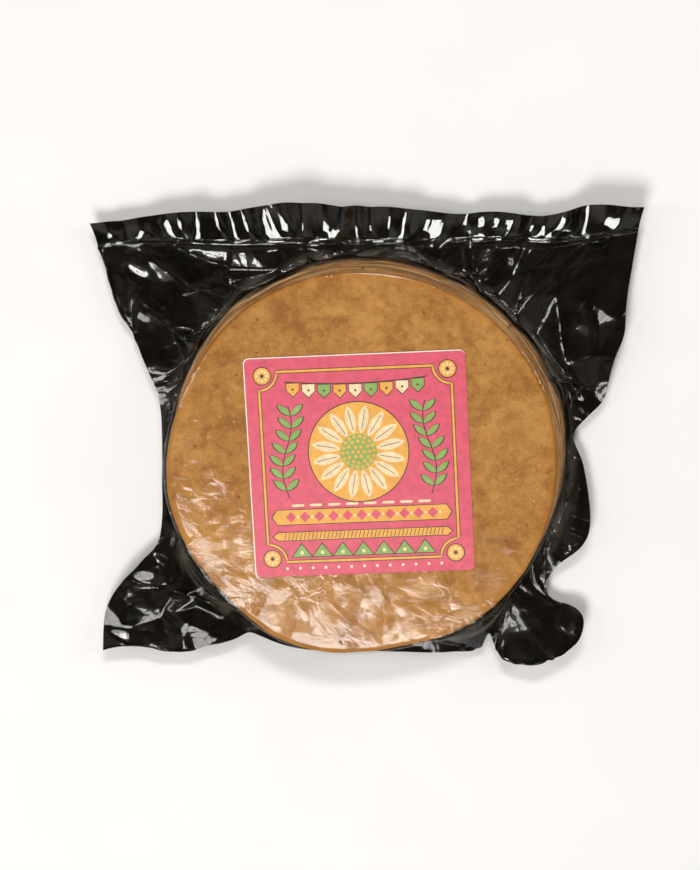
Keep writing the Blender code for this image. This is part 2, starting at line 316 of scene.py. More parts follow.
def first_guess(flat):
    """The film's start: flat on the stack, down its wall, then out to the pouch's edge."""
    x, y = flat[..., 0], flat[..., 1]
    radius, bearing = np.hypot(x, y), np.arctan2(y, x)
    cosine, sine = np.cos(bearing), np.sin(bearing)
    reach_x = np.where(cosine > 0, FLAT_RIGHT, FLAT_LEFT) / np.where(np.abs(cosine) < 1e-6, 1e-6, cosine)
    reach_y = np.where(sine > 0, FLAT_TOP, FLAT_BOTTOM) / np.where(np.abs(sine) < 1e-6, 1e-6, sine)
    reach = np.minimum(np.abs(reach_x), np.abs(reach_y))
    top, bottom, left, right = side_targets(np.clip(reach * cosine, FLAT_LEFT, FLAT_RIGHT),
                                            np.clip(reach * sine, FLAT_BOTTOM, FLAT_TOP))
    on_side = np.abs(reach_x) < np.abs(reach_y)
    edge = np.where(on_side[..., None],
                    np.where((cosine > 0)[..., None], right, left),
                    np.where((sine > 0)[..., None], top, bottom))
    wall, face, foot_ring = wall_length(bearing), face_radius(bearing), foot_radius(bearing)
    down = np.clip((radius - face) / wall, 0, 1)
    out = np.clip((radius - face - wall) / np.maximum(reach - face - wall, 1.0), 0, 1)
    ring = np.minimum(radius, face) + (foot_ring - face) * down
    foot = np.dstack([foot_ring * cosine, foot_ring * sine])
    place = np.dstack([ring * cosine, ring * sine])
    place = np.where((out > 0)[..., None], foot + (edge - foot) * out[..., None], place)
    height = STACK_TOP + FILM_GAP - (STACK_TOP - FOOT_HEIGHT) * down
    return np.dstack([place, height])


def fold_height(place):
    """The height that the flange is drawn towards, from its edge and its main folds."""
    x, y = place[..., 0], place[..., 1]
    weights = np.zeros(x.shape)
    heights = np.zeros(x.shape)
    for edge_x, edge_y, edge_height in TOP_EDGE + LEFT_EDGE + BOTTOM_EDGE + RIGHT_EDGE:
        weight = ((x - edge_x) ** 2 + (y - edge_y) ** 2 + 6.0) ** -1.5
        weights += weight
        heights += weight * edge_height
    rise = smooth_step(FOOT_RADIUS, FOOT_RADIUS + FLANGE_RISE, np.hypot(x, y))
    height = FOOT_HEIGHT * (1 - rise) + heights / weights * rise
    for points, size, half_width in FOLDS:
        distance = np.full(x.shape, np.inf)
        for start, end in zip(points, points[1:]):
            span = np.subtract(end, start)
            share = np.clip(((place - start) @ span) / (span @ span), 0, 1)
            nearest = np.array(start) + share[..., None] * span
            distance = np.minimum(distance, np.linalg.norm(place - nearest, axis=-1))
        height += size * np.maximum(0, 1 - distance / half_width)
    return height


def push_off_stack(film):
    """Moves film points out of the rounded stack. Returns their distance to it and the way out."""
    x, y, z = film[..., 0], film[..., 1], film[..., 2]
    radius = np.maximum(np.hypot(x, y), 1e-6)
    spin = (x + 1j * y) / radius
    depth = np.clip(1 - z / STACK_TOP, 0, 1)
    shift = STACK_SHIFT * (spin * np.exp(-1j * SHIFT_BEARING)).real
    wall = STACK_RADIUS + SPREAD + (STACK_FLARE + shift) * depth
    power = spin
    for size, start in UNEVEN:
        wall = wall + (power * (size * np.exp(1j * start))).imag
        power = power * spin
    rim = RIM_ROUND + RIM_VARIES * (spin * np.exp(-1j * RIM_BEARING)).real
    beside = radius - (wall - rim)
    above = np.abs(z - STACK_TOP / 2) - (STACK_TOP / 2 - rim)
    out_side, out_up = np.maximum(beside, 0), np.maximum(above, 0)
    outside = np.hypot(out_side, out_up)
    distance = outside + np.minimum(np.maximum(beside, above), 0) - rim
    inner = outside < 1e-9
    way_side = np.where(inner, beside > above, out_side / np.maximum(outside, 1e-9))
    way_up = np.where(inner, beside <= above, out_up / np.maximum(outside, 1e-9))
    way_up = way_up * np.sign(z - STACK_TOP / 2)
    depth = np.maximum(FILM_GAP - distance, 0)
    film[..., 0] += depth * way_side * x / radius
    film[..., 1] += depth * way_side * y / radius
    film[..., 2] += depth * way_up
    return distance, np.dstack([way_side * x / radius, way_side * y / radius, way_up])


def links(flat):
    """Neighbour pairs as slices, in batches that share no point, with their flat lengths."""
    rows, columns = flat.shape[:2]
    everything = slice(None)
    batches = []

    def add(first, second, stiffness):
        batches.append((first, second, np.linalg.norm(flat[first] - flat[second], axis=-1), stiffness))

    for start in (0, 1):
        wide = start + 2 * ((columns - 1 - start) // 2)
        tall = start + 2 * ((rows - 1 - start) // 2)
        lower, upper = slice(start, tall, 2), slice(start + 1, tall + 1, 2)
        add((everything, slice(start, wide, 2)), (everything, slice(start + 1, wide + 1, 2)), 0.5)
        add((lower, everything), (upper, everything), 0.5)
        add((lower, slice(0, columns - 1)), (upper, slice(1, columns)), 0.35)
        add((lower, slice(1, columns)), (upper, slice(0, columns - 1)), 0.35)
    return batches


def keep_lengths(film, batches, push_back):
    for first, second, length, stiffness in batches:
        gap = film[second] - film[first]
        now = np.sqrt(np.einsum("...i,...i", gap, gap))
        error = (now - length) / np.maximum(now, 1e-9)
        move = gap * (error * stiffness * np.where(now > length, 1.0, push_back))[..., None]
        film[first] += move
        film[second] -= move


def resist_bending(film, stiffness):
    move = (0.5 * (film[:-2] + film[2:]) - film[1:-1]) * stiffness
    film[1:-1] += move
    film[:-2] -= 0.5 * move
    film[2:] -= 0.5 * move
    move = (0.5 * (film[:, :-2] + film[:, 2:]) - film[:, 1:-1]) * stiffness
    film[:, 1:-1] += move
    film[:, :-2] -= 0.5 * move
    film[:, 2:] -= 0.5 * move


def hold_edge(film, targets):
    top, bottom, left, right = targets
    film[-1, :, :2] += EDGE_PULL * (top - film[-1, :, :2])
    film[0, :, :2] += EDGE_PULL * (bottom - film[0, :, :2])
    film[:, 0, :2] += EDGE_PULL * (left - film[:, 0, :2])
    film[:, -1, :2] += EDGE_PULL * (right - film[:, -1, :2])


def relax(film, flat, steps, bending, push_back, fold_pull, unevenness):
    """Lets the film settle over the stack at one grid step."""
    rows, columns = flat.shape[:2]
    batches = links(flat)
    targets = edge_targets(rows, columns)
    flat_radius = np.hypot(flat[..., 0], flat[..., 1])
    bearing = np.arctan2(flat[..., 1], flat[..., 0])
    face = face_radius(bearing)
    foot = face + wall_length(bearing)
    tent = np.clip(tent_reach(bearing) / 3.0, 0, 1)
    flange = smooth_step(foot - 3.0, foot + 4.0, flat_radius)
    on_wall = (flat_radius > face - 2) & (flat_radius < foot)
    chord = first_guess(flat)
    tent_pull = np.where(on_wall, tent * TENT_PULL, 0.0)[..., None]
    near_stack = (flat_radius < face + SUCTION_REACH) * np.where(flat_radius < face - 4, 1.0, 1 - tent)
    film = film + np.random.default_rng(SEED).normal(0, 1, film.shape) * unevenness
    before = film.copy()
    for step in range(steps):
        drift = (film - before) * MOMENTUM
        speed = np.linalg.norm(drift, axis=-1, keepdims=True)
        drift *= np.minimum(1, STEP_LIMIT / np.maximum(speed, 1e-9))
        before = film.copy()
        distance, way_out = push_off_stack(film)
        way_out[..., 2] = np.maximum(way_out[..., 2], 0.2)
        drawn = near_stack * (film[..., 2] > FOOT_HEIGHT + 0.5) * (distance > 0.2)
        if step % 10 == 0:
            wanted = fold_height(film[..., :2])
        film = film + drift - SUCTION * drawn[..., None] * way_out + tent_pull * (chord - film)
        film[..., 2] += flange * fold_pull * (wanted - film[..., 2])
        for _ in range(PASSES):
            keep_lengths(film, batches, push_back)
            resist_bending(film, bending)
            push_off_stack(film)
            film[..., 2] = np.maximum(film[..., 2], LOWEST_FILM)
            hold_edge(film, targets)
    return film


def resample(grid, rows, columns):
    """A grid of points read at another count of rows and columns."""
    for axis, count in ((0, rows), (1, columns)):
        place = np.linspace(0, grid.shape[axis] - 1, count)
        low = np.clip(place.astype(int), 0, grid.shape[axis] - 2)
        share = (place - low).reshape([-1 if axis == a else 1 for a in range(3)])
        grid = np.take(grid, low, axis) * (1 - share) + np.take(grid, low + 1, axis) * share
    return grid


def free_share(flat):
    """1 on the flange, easing to 0 where the film is drawn onto the stack."""
    radius, bearing = np.hypot(flat[..., 0], flat[..., 1]), np.arctan2(flat[..., 1], flat[..., 0])
    foot = face_radius(bearing) + wall_length(bearing)
    return smooth_step(foot - 2.0, foot + 3.0, radius)


def smoothed(grid, rounds, strength=1.0):
    """A grid of points or numbers moved towards the mean of each one's neighbours."""
    margin = ((1, 1), (1, 1)) + ((0, 0),) * (grid.ndim - 2)
    for _ in range(rounds):
        padded = np.pad(grid, margin, mode="reflect", reflect_type="odd")
        around = (padded[:-2, 1:-1] + padded[2:, 1:-1] + padded[1:-1, :-2] + padded[1:-1, 2:]) / 4
        grid = grid + (around - grid) * strength
    return grid


def calm_tucked_edges(film, flat):
    """Smooths the small pleats away where the pouch's edge is turned under and little of it shows."""
    bearing = np.arctan2(flat[..., 1], flat[..., 0])
    calm = sum(strength * bump(bearing, centre, width) for centre, width, strength in CALM_EDGES)
    return smoothed(film, CALM_ROUNDS, (np.clip(calm, 0, 0.5) * free_share(flat))[..., None])


def facet_corners(free_places):
    """Corners of the flange's facets, how far each is lifted, and the pairs that a crease joins."""
    generator = np.random.default_rng(SEED)
    corners, lifts, creases = [], [], []
    for points, size, _ in FOLDS:
        creases += [(len(corners) + k, len(corners) + k + 1) for k in range(len(points) - 1)]
        corners += points
        lifts += [CREASE_LIFT * size] * len(points)
    for curve in (LEFT_CURVE, BOTTOM_CURVE, RIGHT_CURVE):
        corners += list(along(curve, np.linspace(0, 1, int(curve[1][-1] / FACET_SPACING))))
    corners += [point - (0, STRIP_WIDTH) for point in along(TOP_CURVE, np.linspace(0, 1, STRIP_FACETS))]
    bearings = np.linspace(-180.0, 180.0, FOOT_FACETS, endpoint=False)
    for bearing in np.radians(bearings + generator.uniform(-2, 2, FOOT_FACETS)):
        corners.append((foot_radius(bearing) + 1.5) * np.array((math.cos(bearing), math.sin(bearing))))
    lifts += [0.0] * (len(corners) - len(lifts))
    for choice in generator.integers(len(free_places), size=FACET_TRIES):
        place = free_places[choice]
        if np.linalg.norm(np.array(corners) - place, axis=1).min() > FACET_SPACING:
            corners.append(place)
            lifts.append(generator.uniform(-FACET_UNEVEN, FACET_UNEVEN))
    return corners, lifts, creases


def facet_flange(film, flat):
    """Turns the flange's soft folds into flat facets that meet in straight creases."""
    share = free_share(flat) * smooth_step(STRIP_WIDTH - 1.0, STRIP_WIDTH + 2.0, FLAT_TOP - flat[..., 1])
    upright = smoothed(smooth_step(0.25, 0.6, normals_of(film)[..., 2]), 4)
    film = film + (smoothed(film, 14) - film) * (0.8 * share * (1 - upright))[..., None]
    places, height, soft = film[..., :2], film[..., 2].copy(), smoothed(film[..., 2], 6)
    corners, lifts, creases = facet_corners(places[share > 0.99])
    corners = [Vector(corner) for corner in corners]
    points, _, triangles, origins = delaunay_2d_cdt(corners, creases, [], 0, 1e-4)[:4]
    points = np.array(points)
    levels = np.zeros(len(points))
    for index, (point, origin) in enumerate(zip(points, origins)):
        nearest = np.argmin(((places - point) ** 2).sum(axis=-1))
        levels[index] = soft.flat[nearest] + (lifts[origin[0]] if origin else 0.0)
    for triangle in triangles:
        corner, level = points[list(triangle)], levels[list(triangle)]
        near = np.nonzero(((places >= corner.min(axis=0)) & (places <= corner.max(axis=0))).all(axis=-1))
        shares = (places[near] - corner[0]) @ np.linalg.inv(corner[1:] - corner[0])
        within = (shares.min(axis=1) >= 0) & (shares.sum(axis=1) <= 1)
        rows, columns = near[0][within], near[1][within]
        height[rows, columns] = level[0] + shares[within] @ (level[1:] - level[0])
    film[..., 2] += (height - film[..., 2]) * share * upright * FACET_SHARE
    return film


def stiffen_strip(film, flat):
    """Draws the welded top strip straight from its weld line to the pouch's edge."""
    first = int(np.argmax(flat[:, 0, 1] > FLAT_TOP - STRIP_WIDTH))
    weld, edge = film[first].copy(), film[-1].copy()
    for _ in range(STRIP_ROUNDS):
        for line in (weld, edge):
            line[1:-1] = 0.25 * line[:-2] + 0.5 * line[1:-1] + 0.25 * line[2:]
    share = np.linspace(0, 1, len(film) - first)[:, None, None]
    film[first:] += (weld + (edge - weld) * share - film[first:]) * STRIP_STIFFNESS
    return film


def settled_film():
    """The front film over the stack, and its flat shape, at the finest grid step."""
    levels = LEVELS
    film = None
    for step, steps, *settings in levels:
        flat = flat_grid(step)
        film = first_guess(flat) if film is None else resample(film, *flat.shape[:2])
        film = relax(film, flat, steps, *settings)
    film = stiffen_strip(calm_tucked_edges(film, flat), flat)
    return facet_flange(film, flat), flat


# ---------------------------------------------------------------- finishing the films
CREASE_PLACE = (-3.0, -62.0)
CREASE_TURN = math.radians(-38.0)
CREASE_LENGTH = 24.0
CREASE_WIDTH = 0.7
RIM_FOLD_CENTRE = (-7.6, 18.7)
RIM_FOLD_RADIUS = 89.0
RIM_FOLD_ENDS = (21.0, 63.0)
RIM_FOLD_WIDTH = 0.65
RIM_FOLD_WAVE = 5.0
FLUTE_PITCH = 14.0
FLUTE_HEIGHT = 0.95
CURL_HEIGHT = 3.2
WELD_WIDTH = 1.1
WELD_DEPTH = 0.45
SIDE_WELD_DEPTH = 0.15
ATTACH_OUT = 1.5
# Waves of the top tortilla's relief: (pace across, pace up, start, size)
RELIEF_WAVES = ((0.21, 0.13, 0.4, 1.0), (-0.12, 0.26, 1.9, 0.8), (0.37, -0.22, 3.1, 0.6),
                (0.48, 0.41, 5.0, 0.45), (-0.63, 0.30, 2.2, 0.35), (0.15, -0.71, 0.9, 0.35),
                (0.92, 0.55, 4.1, 0.2), (-0.8, 0.9, 1.2, 0.2))
RELIEF_HEIGHT = 0.035
LABEL_SIDE = 85.3
LABEL_TURN = math.radians(3.0)


def beside_label(x, y):
    """0 under the label and 1 a little way from it."""
    turned_x = np.abs(x * math.cos(LABEL_TURN) + y * math.sin(LABEL_TURN) - LABEL_OFFSET[0])
    turned_y = np.abs(y * math.cos(LABEL_TURN) - x * math.sin(LABEL_TURN) - LABEL_OFFSET[1])
    return smooth_step(LABEL_SIDE / 2 + 0.5, LABEL_SIDE / 2 + 6.0, np.maximum(turned_x, turned_y))


def relief(x, y):
    """Gentle unevenness of the top tortilla, which the film copies."""
    total = sum(size * np.sin(across * x + up * y + start) for across, up, start, size in RELIEF_WAVES)
    fade = 1 - smooth_step(STACK_RADIUS - 9.0, STACK_RADIUS - 2.0, np.hypot(x, y))
    return RELIEF_HEIGHT * total * fade * beside_label(x, y)


def normals_of(grid):
    normal = np.cross(np.gradient(grid, axis=1), np.gradient(grid, axis=0))
    return normal / np.maximum(np.linalg.norm(normal, axis=-1, keepdims=True), 1e-9)


def weld_and_flutes(flat):
    """Height of the pressed weld lines and the small flutes of the top strip, over the flat film."""
    from_top = FLAT_TOP - flat[..., 1]
    x = flat[..., 0]
    in_strip = 1 - smooth_step(STRIP_WIDTH - 4.0, STRIP_WIDTH, from_top)
    strength = 0.92 + 0.12 * np.sin(0.083 * x + 0.8)
    phase = 2 * np.pi * x / FLUTE_PITCH + 0.5 * np.sin(0.11 * x) + 0.25 * np.sin(0.27 * x + 1.0)
    flutes = FLUTE_HEIGHT * strength * np.sin(phase) * in_strip
    flutes += CURL_HEIGHT * np.clip(1 - from_top / STRIP_WIDTH, 0, 1) ** 2
    weld = -WELD_DEPTH * np.exp(-((from_top - STRIP_WIDTH) / WELD_WIDTH) ** 2)
    for distance in (x - FLAT_LEFT, FLAT_RIGHT - x, flat[..., 1] - FLAT_BOTTOM):
        weld -= SIDE_WELD_DEPTH * np.exp(-((distance - STRIP_WIDTH) / WELD_WIDTH) ** 2)
    return flutes + weld


def read_grid(grid, flat_x, flat_y):
    """The grid's points at flat places, between its own points."""
    x, y = flat_x.copy(), flat_y.copy()
    for _ in range(20):
        now_x, now_y = flat_place(x, y)
        x, y = x + flat_x - now_x, y + flat_y - now_y
    rows, columns = grid.shape[:2]
    column = np.clip((x - FLAT_LEFT) / (FLAT_RIGHT - FLAT_LEFT) * (columns - 1), 0, columns - 1.001)
    row = np.clip((y - FLAT_BOTTOM) / (FLAT_TOP - FLAT_BOTTOM) * (rows - 1), 0, rows - 1.001)
    j, i = column.astype(int), row.astype(int)
    s, t = (column - j)[..., None], (row - i)[..., None]
    return ((grid[i, j] * (1 - s) + grid[i, j + 1] * s) * (1 - t)
            + (grid[i + 1, j] * (1 - s) + grid[i + 1, j + 1] * s) * t)


def back_film_under(front, flat):
    """The black film: welded to the front one outside the stack, round and under the stack inside."""
    radius, bearing = np.hypot(flat[..., 0], flat[..., 1]), np.arctan2(flat[..., 1], flat[..., 0])
    attach = face_radius(bearing) + wall_length(bearing) + ATTACH_OUT
    attach_point = read_grid(front, attach * np.cos(bearing), attach * np.sin(bearing))
    base = stack_radius(bearing, 0.0)
    rings = ((0 * base, SOLE_HEIGHT), (base - 2.5, SOLE_HEIGHT), (base - 0.7, 0.7), (base + 0.2, 2.4))
    profile = [np.dstack([ring * np.cos(bearing), ring * np.sin(bearing), np.full(radius.shape, height)])
               for ring, height in rings] + [attach_point]
    spans = [np.linalg.norm(after - before, axis=-1) for before, after in zip(profile, profile[1:])]
    path = radius / attach * sum(spans)
    inner = profile[0]
    for before, after, span in zip(profile, profile[1:], spans):
        share = np.clip(path / np.maximum(span, 1e-3), 0, 1)[..., None]
        inner = np.where(share > 0, before + (after - before) * share, inner)
        path = path - span
    under = front - normals_of(front) * FILM_GAP
    return np.where((radius < attach)[..., None], inner, under)


# ---------------------------------------------------------------- making meshes and materials
def make_object(name, points, faces, material, smooth=True, flat=None):
    """A mesh object from points in millimetres from the stack's centre.

    Its "flat" attribute holds its flat shape, if given, and how far each point lies past the face's rim.
    """
    places = np.asarray(points, float).reshape(-1, 3) * MM
    places[:, :2] += STACK_CENTRE * MM
    mesh = bpy.data.meshes.new(name)
    mesh.from_pydata(places.tolist(), [], faces)
    mesh.materials.append(material)
    if smooth:
        mesh.shade_smooth()
    across = np.asarray(points, float).reshape(-1, 3)[:, :2]
    spread = np.zeros((len(across), 3), np.float32)
    spread[:, :2] = across if flat is None else np.asarray(flat).reshape(-1, 2)
    spread[:, 2] = np.hypot(*across.T) - face_radius(np.arctan2(across[:, 1], across[:, 0]))
    mesh.attributes.new("flat", "FLOAT_VECTOR", "POINT").data.foreach_set("vector", spread.ravel())
    thing = bpy.data.objects.new(name, mesh)
    bpy.context.scene.collection.objects.link(thing)
    return thing


def grid_faces(rows, columns):
    index = np.arange(rows * columns).reshape(rows, columns)
    corners = (index[:-1, :-1], index[:-1, 1:], index[1:, 1:], index[1:, :-1])
    return np.stack(corners, axis=-1).reshape(-1, 4).tolist()


def ring_faces(rings, sectors, close_low=True, close_high=True):
    """Quads between rings, outward where rings run upwards, and flat ends."""
    faces = []
    for ring in range(rings - 1):
        for sector in range(sectors):
            after = (sector + 1) % sectors
            low, high = ring * sectors, (ring + 1) * sectors
            faces.append((low + sector, low + after, high + after, high + sector))
    if close_low:
        faces.append(tuple(range(sectors - 1, -1, -1)))
    if close_high:
        faces.append(tuple((rings - 1) * sectors + sector for sector in range(sectors)))
    return faces


# Fine relief of the films, heights in millimetres
CRUMPLE_SIZE, CRUMPLE_HEIGHT = 8.0, 0.22
BOW_SIZE, BOW_HEIGHT = 9.0, 0.45
PLEAT_PITCH, PLEAT_LENGTH, PLEAT_HEIGHT = 5.0, 22.0, 0.34
FLANGE_RADIUS = 95.0
WELD_GROOVE, WELD_LINE_STEP = 0.30, 1.5
CREASE_HEIGHT, PORE_HEIGHT, DRAPE_HEIGHT = 0.9, 0.032, 0.070
# How much the clear film mirrors straight on, and what a grazing look adds; then the share of it
# that free film and the welded strip show
FILM_MIRROR, GRAZING_MIRROR = 0.048, 0.95
FREE_GLOSS, STRIP_GLOSS = 0.30, 1.15
FILM_ROUGHNESS = 0.05
SHEEN_TINT = (0.93, 0.97, 1.00)
FILM_TINT = (0.98, 0.975, 0.965)
HAZE_TINT = (0.62, 0.56, 0.48)
BLACK = (0.0045, 0.004, 0.0032)
DUSTY_BLACK = (0.0085, 0.0075, 0.0062)
# Dough colours
BROWNED_DOUGH = (0.275, 0.107, 0.013)
DOUGH = (0.388, 0.177, 0.031)
PALE_DOUGH = (0.480, 0.240, 0.058)
DARK_GRAIN = (0.330, 0.130, 0.020)
PALE_GRAIN = (0.700, 0.430, 0.150)
RIM_BROWN = (0.430, 0.172, 0.018)
# Painted shade for the seams between the tortillas on the stack's side, and painted light for their edges
PAINTED_SEAM_SHADE = (0.150, 0.060, 0.018)
PAINTED_EDGE_LIGHT = (0.800, 0.540, 0.250)
HALO_BROWN = (0.250, 0.090, 0.020)
FLECK_BROWN = (0.075, 0.030, 0.012)
FLECK_SPACING = 8.0
FLECKLESS_SHARE = 0.66


class Shader:
    """A material being built: adds nodes and joins them with short calls."""

    def __init__(self, name):
        self.material = bpy.data.materials.new(name)
        self.material.use_nodes = True
        self.tree = self.material.node_tree
        self.tree.nodes.clear()
        self.output = self.tree.nodes.new("ShaderNodeOutputMaterial")

    def feed(self, socket, value):
        """Joins a socket to another one, or gives it a number, vector or colour."""
        if isinstance(value, bpy.types.NodeSocket):
            self.tree.links.new(value, socket)
        elif socket.type == "RGBA":
            socket.default_value = (*value, 1.0)
        else:
            socket.default_value = value

    def node(self, kind, inputs=None, **settings):
        node = self.tree.nodes.new("ShaderNode" + kind)
        for key, value in settings.items():
            setattr(node, key, value)
        for key, value in (inputs or {}).items():
            self.feed(node.inputs[key], value)
        return node

    def place(self, across=1.0, up=None):
        """Object coordinates in lengths of so many millimetres across, and up if that differs."""
        lengths = np.array((across, across, up or across)) * MM
        coordinates = self.node("TexCoord").outputs["Object"]
        return self.node("Mapping", {"Vector": coordinates, "Scale": tuple(1 / lengths)}).outputs["Vector"]

    def film_place(self, across=1.0):
        """The film's flat coordinates in lengths of so many millimetres."""
        flat = self.node("Attribute", attribute_name="flat").outputs["Vector"]
        return self.node("VectorMath", {0: flat, "Scale": 1 / across}, operation="SCALE").outputs["Vector"]

    def split(self, vector):
        """The X, Y and Z of a vector."""
        return self.node("SeparateXYZ", {"Vector": vector}).outputs

    def noise(self, size, detail=3.0, roughness=0.55, distortion=0.0, place=None, space="3D"):
        """Noise whose features are about size millimetres apart; in "2D" it ignores height."""
        inputs = {"Vector": place or self.place(size), "Scale": 1.0, "Detail": detail,
                  "Roughness": roughness, "Distortion": distortion}
        return self.node("TexNoise", inputs, noise_dimensions=space).outputs["Fac"]

    def cells(self, place, **settings):
        """Flat Voronoi cells."""
        inputs = {"Vector": place, "Scale": 1.0}
        return self.node("TexVoronoi", inputs, voronoi_dimensions="2D", **settings).outputs

    def ramp(self, value, *stops):
        """A colour or number from stops of (position, colour or number)."""
        node = self.node("ValToRGB", {"Fac": value})
        elements = node.color_ramp.elements
        while len(elements) < len(stops):
            elements.new(0.5)
        for element, (position, tone) in zip(elements, stops):
            element.position = position
            element.color = (*tone, 1.0) if isinstance(tone, tuple) else (tone, tone, tone, 1.0)
        return node.outputs["Color"]

    def ease(self, value, low, high, kind="LINEAR"):
        """0 where the value is at low, 1 where it is at high."""
        inputs = {"Value": value, "From Min": low, "From Max": high}
        return self.node("MapRange", inputs, interpolation_type=kind).outputs["Result"]

    def math(self, operation, first, second=0.0):
        return self.node("Math", {0: first, 1: second}, operation=operation).outputs["Value"]

    def times(self, first, *others):
        for other in others:
            first = self.math("MULTIPLY", first, other)
        return first

    def plus(self, first, second):
        return self.math("ADD", first, second)

    def less(self, first, second):
        return self.math("SUBTRACT", first, second)

    def mix(self, factor, first, second):
        return self.node("Mix", {0: factor, 6: first, 7: second}, data_type="RGBA").outputs[2]

    def bump(self, height, distance, strength=1.0, under=None):
        """A bump of the given height in millimetres."""
        inputs = {"Height": height, "Distance": distance * MM, "Strength": strength}
        if under is not None:
            inputs["Normal"] = under
        return self.node("Bump", inputs).outputs["Normal"]

    def dielectric(self, colour, roughness, ior, normal, **others):
        """Ends the material with a Principled surface."""
        inputs = {"Base Color": colour, "Roughness": roughness, "IOR": ior, "Normal": normal, **others}
        return self.finish(self.node("BsdfPrincipled", inputs).outputs["BSDF"])

    def finish(self, surface):
        self.tree.links.new(surface, self.output.inputs["Surface"])
        return self.material


def groove(shader, distance, half_width):
    """1 on a line, easing to 0 at the half width; distance is signed and in millimetres."""
    return shader.ease(shader.math("ABSOLUTE", distance), half_width, 0.0, "SMOOTHSTEP")


def pleats(shader):
    """Streaks that run outwards from the stack, where the film is gathered round it."""
    flat = shader.split(shader.film_place())
    around = shader.times(shader.math("ARCTAN2", flat["Y"], flat["X"]), FLANGE_RADIUS / PLEAT_PITCH)
    outwards = shader.times(flat["Z"], 1 / PLEAT_LENGTH)
    place = shader.node("CombineXYZ", {"X": around, "Y": outwards}).outputs["Vector"]
    return shader.noise(1.0, 1.5, 0.5, 0.4, place=place, space="2D")


def film_bump(shader):
    """Fine relief of thin film: weld grooves, small soft facets and faint pleats."""
    past_weld = shader.less(shader.split(shader.film_place())["Y"], FLAT_TOP - STRIP_WIDTH)
    upper_line = groove(shader, shader.less(past_weld, WELD_LINE_STEP), 0.35)
    welds = shader.plus(groove(shader, past_weld, 0.55), shader.times(upper_line, 0.5))
    turned = shader.node("VectorRotate", {"Vector": shader.film_place(CRUMPLE_SIZE), "Angle": 0.6})
    cells = shader.cells(turned.outputs["Vector"], distance="CHEBYCHEV")
    crumple = shader.bump(cells["Distance"], CRUMPLE_HEIGHT, 0.6)
    bow = shader.noise(1.0, 1.0, 0.45, 0.3, place=shader.film_place(BOW_SIZE), space="2D")
    bowed = shader.bump(bow, BOW_HEIGHT, 0.8, crumple)
    pleated = shader.bump(pleats(shader), PLEAT_HEIGHT, 1.0, bowed)
    return shader.bump(welds, -WELD_GROOVE, 1.0, pleated)


def black_film_material():
    shader = Shader("black_film")
    dust = shader.noise(9.0, 2.0, 0.6, space="2D")
    tone = shader.ramp(dust, (0.35, BLACK), (0.75, DUSTY_BLACK))
    rough = shader.ramp(dust, (0.3, 0.12), (0.7, 0.20))
    return shader.dielectric(tone, rough, 1.5, film_bump(shader), **{"Specular IOR Level": 0.16})


def past_rim(shader):
    """Distance in millimetres outwards from the rim of the stack's face, as a shader number."""
    return shader.split(shader.node("Attribute", attribute_name="flat").outputs["Vector"])["Z"]


def face_crease(shader):
    """A short straight crease of the film across the lower face."""
    centre = (*((STACK_CENTRE + CREASE_PLACE) * MM), 0.0)
    coordinates = shader.node("TexCoord").outputs["Object"]
    mapping = shader.node("Mapping", {"Vector": coordinates, "Location": centre, "Scale": (MM, MM, MM),
                                      "Rotation": (0, 0, CREASE_TURN)}, vector_type="TEXTURE")
    place = shader.split(mapping.outputs["Vector"])
    reach = groove(shader, place["X"], CREASE_LENGTH / 2)
    return shader.times(groove(shader, place["Y"], CREASE_WIDTH), shader.math("MINIMUM", reach, 0.5))


def rim_fold(shader):
    """A narrow wavy fold of the film beside the lower right rim."""
    flat = shader.split(shader.film_place())
    place = shader.node("CombineXYZ", {"X": flat["X"], "Y": flat["Y"]}).outputs["Vector"]
    gap = shader.node("VectorMath", {0: place, 1: (*RIM_FOLD_CENTRE, 0.0)}, operation="DISTANCE")
    wave = shader.times(shader.noise(6.0, 2.0, 0.6, space="2D"), RIM_FOLD_WAVE)
    distance = shader.less(shader.plus(gap.outputs["Value"], wave), RIM_FOLD_RADIUS + RIM_FOLD_WAVE / 2)
    start, end = RIM_FOLD_ENDS
    reach = groove(shader, shader.less(flat["X"], (start + end) / 2), (end - start) / 2)
    return shader.times(groove(shader, distance, RIM_FOLD_WIDTH), shader.math("MINIMUM", reach, 0.6))


def side_haze(shader):
    """Milky streaks where the film is drawn in many small pleats down the stack's side."""
    past = past_rim(shader)
    height = shader.split(shader.place())["Z"]
    streaks = shader.noise(1.0, 2.0, 0.6, place=shader.place(22.0, 1.7))
    streaks = shader.ramp(streaks, (0.42, 0.01), (0.68, 0.18))
    outside, inside = shader.ease(past, -1.5, 0.5), shader.ease(past, 8.0, 4.0)
    above = shader.ease(height, FOOT_HEIGHT - 1.0, FOOT_HEIGHT + 2.0)
    return shader.times(shader.times(outside, inside), shader.times(above, streaks))


def clinging_gloss(shader):
    """How glossy the film is where it clings: in broken patches with a fine grain."""
    patches = shader.noise(11.0, 5.0, 0.66, 0.3, space="2D")
    grain = shader.noise(0.9, 2.0, 0.6, space="2D")
    return shader.times(shader.ramp(patches, (0.43, 0.13), (0.50, 0.86)),
                        shader.ramp(grain, (0.36, 0.70), (0.56, 1.0)))


def free_gloss(shader):
    """How glossy the free film is: most of all along the welded strip."""
    in_strip = shader.math("GREATER_THAN", shader.split(shader.film_place())["Y"], FLAT_TOP - STRIP_WIDTH)
    return shader.plus(shader.times(in_strip, STRIP_GLOSS - FREE_GLOSS), FREE_GLOSS)


